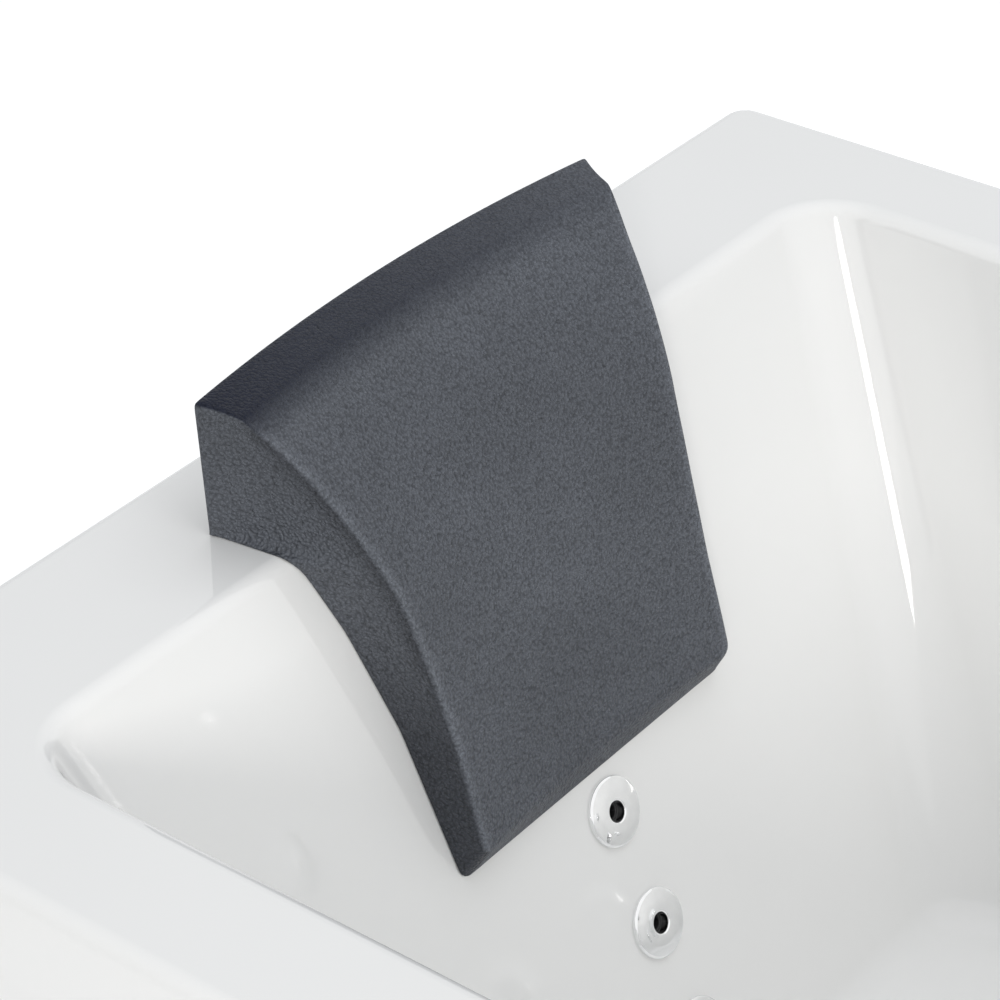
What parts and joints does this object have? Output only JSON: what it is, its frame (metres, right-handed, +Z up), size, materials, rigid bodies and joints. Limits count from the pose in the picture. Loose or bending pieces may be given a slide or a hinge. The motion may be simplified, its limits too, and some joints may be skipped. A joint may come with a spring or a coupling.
{
  "type": "jetted bathtub",
  "caption": "Rectangular acrylic jetted bathtub with sloping walls, a head cushion over the rim, chrome back jets, removable front panel, steel frame and pump.",
  "frame": {"origin": "on the floor under the middle of the tub", "axes": "+X runs along the tub from the head end with the cushion to the foot end, +Z is up, -Y faces the front with the removable panel, +Y is the open side that stands against a wall"},
  "size_m": [1.8, 0.9, 0.693],
  "materials": {
    "shell_acrylic": "gloss",
    "cushion_skin": "satin",
    "black_plastic": "matte",
    "chrome_trim": "polished",
    "frame_steel": "satin",
    "plywood": "matte",
    "zinc_steel": "satin",
    "pipe_plastic": "satin",
    "hose_plastic": "satin",
    "rubber_grey": "matte",
    "motor_aluminium": "satin",
    "rotor_steel": "satin"
  },
  "bodies": {
    "tub": {"air_drop_pipe": "hose_plastic", "air_pipes": "hose_plastic", "back_jet_bodies": "pipe_plastic", "back_jet_pipes": "hose_plastic", "base_board": "plywood", "bath_shell": "shell_acrylic", "control_seats": "chrome_trim", "cushion_grommets": "rubber_grey", "drain_flange": "chrome_trim", "drain_trap": "pipe_plastic", "foot_nuts": "zinc_steel", "foot_panel": "shell_acrylic", "frame_cross_rails": "frame_steel", "frame_long_rails": "frame_steel", "frame_posts": "frame_steel", "head_panel": "shell_acrylic", "jet_faces": "chrome_trim", "lock_nuts": "pipe_plastic", "overflow_body": "pipe_plastic", "overflow_pipes": "pipe_plastic", "overflow_ring": "chrome_trim", "panel_clips": "black_plastic", "pipe_elbows": "pipe_plastic", "pump_base": "black_plastic", "pump_fan_cover": "black_plastic", "pump_motor": "motor_aluminium", "pump_shelf": "plywood", "pump_unions": "pipe_plastic", "pump_volute": "black_plastic", "side_jet_bodies": "pipe_plastic", "signal_tube": "hose_plastic", "suction_body": "pipe_plastic", "suction_cover": "chrome_trim", "suction_pipes": "pipe_plastic", "terminal_box": "black_plastic", "water_header": "pipe_plastic", "water_side_pipes": "pipe_plastic"},
    "front_panel": {"front_panel": "shell_acrylic"},
    "cushion": {"head_cushion": "cushion_skin", "cushion_back_plate": "black_plastic"},
    "plug": {"drain_plug": "chrome_trim"},
    "overflow_knob": {"overflow_knob": "chrome_trim"},
    "regulator_knob": {"air_regulator_knob": "chrome_trim"},
    "button": {"air_button": "chrome_trim"},
    "rotor": {"pump_rotor": "rotor_steel"},
    "foot_1": {"levelling_foot_1": "zinc_steel"},
    "foot_2": {"levelling_foot_2": "zinc_steel"},
    "foot_3": {"levelling_foot_3": "zinc_steel"},
    "foot_4": {"levelling_foot_4": "zinc_steel"},
    "foot_5": {"levelling_foot_5": "zinc_steel"},
    "foot_6": {"levelling_foot_6": "zinc_steel"},
    "nozzle_1": {"side_jet_nozzle_1": "chrome_trim"},
    "nozzle_2": {"side_jet_nozzle_2": "chrome_trim"},
    "nozzle_3": {"side_jet_nozzle_3": "chrome_trim"},
    "nozzle_4": {"side_jet_nozzle_4": "chrome_trim"}
  },
  "joints": [
    {"name": "front_panel_pull", "type": "slide", "parent": "tub", "child": "front_panel", "axis": [0, -1, 0], "range_m": [0, 0.15]},
    {"name": "cushion_lift", "type": "slide", "parent": "tub", "child": "cushion", "axis": [0, 0, 1], "range_m": [0, 0.08]},
    {"name": "foot_1_level", "type": "slide", "parent": "tub", "child": "foot_1", "axis": [0, 0, 1], "range_m": [-0.012, 0.015]},
    {"name": "foot_2_level", "type": "slide", "parent": "tub", "child": "foot_2", "axis": [0, 0, 1], "range_m": [-0.012, 0.015]},
    {"name": "foot_3_level", "type": "slide", "parent": "tub", "child": "foot_3", "axis": [0, 0, 1], "range_m": [-0.012, 0.015]},
    {"name": "foot_4_level", "type": "slide", "parent": "tub", "child": "foot_4", "axis": [0, 0, 1], "range_m": [-0.012, 0.015]},
    {"name": "foot_5_level", "type": "slide", "parent": "tub", "child": "foot_5", "axis": [0, 0, 1], "range_m": [-0.012, 0.015]},
    {"name": "foot_6_level", "type": "slide", "parent": "tub", "child": "foot_6", "axis": [0, 0, 1], "range_m": [-0.012, 0.015]},
    {"name": "nozzle_1_tilt", "type": "hinge", "parent": "tub", "child": "nozzle_1", "pos_m": [-0.24, -0.29307, 0.27879], "axis": [1, 0, 0], "range_deg": [-12, 12]},
    {"name": "nozzle_2_tilt", "type": "hinge", "parent": "tub", "child": "nozzle_2", "pos_m": [0.24, -0.29307, 0.27879], "axis": [1, 0, 0], "range_deg": [-12, 12]},
    {"name": "nozzle_3_tilt", "type": "hinge", "parent": "tub", "child": "nozzle_3", "pos_m": [-0.24, 0.29307, 0.27879], "axis": [1, 0, 0], "range_deg": [-12, 12]},
    {"name": "nozzle_4_tilt", "type": "hinge", "parent": "tub", "child": "nozzle_4", "pos_m": [0.24, 0.29307, 0.27879], "axis": [1, 0, 0], "range_deg": [-12, 12]},
    {"name": "overflow_knob_turn", "type": "hinge", "parent": "tub", "child": "overflow_knob", "pos_m": [0.12, 0.33384, 0.463], "axis": [0, -0.9703, 0.2419], "range_deg": [0, 90]},
    {"name": "drain_plug_lift", "type": "slide", "parent": "tub", "child": "plug", "axis": [0, 0, 1], "range_m": [0, 0.012]},
    {"name": "regulator_turn", "type": "hinge", "parent": "tub", "child": "regulator_knob", "pos_m": [0.17, 0.404, 0.6], "axis": [0, 0, 1], "range_deg": [0, 180]},
    {"name": "button_press", "type": "slide", "parent": "tub", "child": "button", "axis": [0, 0, -1], "range_m": [0, 0.004], "stiffness_N_per_m": 600, "springref_m": -0.001},
    {"name": "rotor_spin", "type": "hinge", "parent": "tub", "child": "rotor", "pos_m": [-0.757, 0, 0.182], "axis": [0, 1, 0], "continuous": true}
  ],
  "couplings": [
    {"joint": "drain_plug_lift", "follows": "overflow_knob_turn", "m_per_rad": 0.0076}
  ]
}
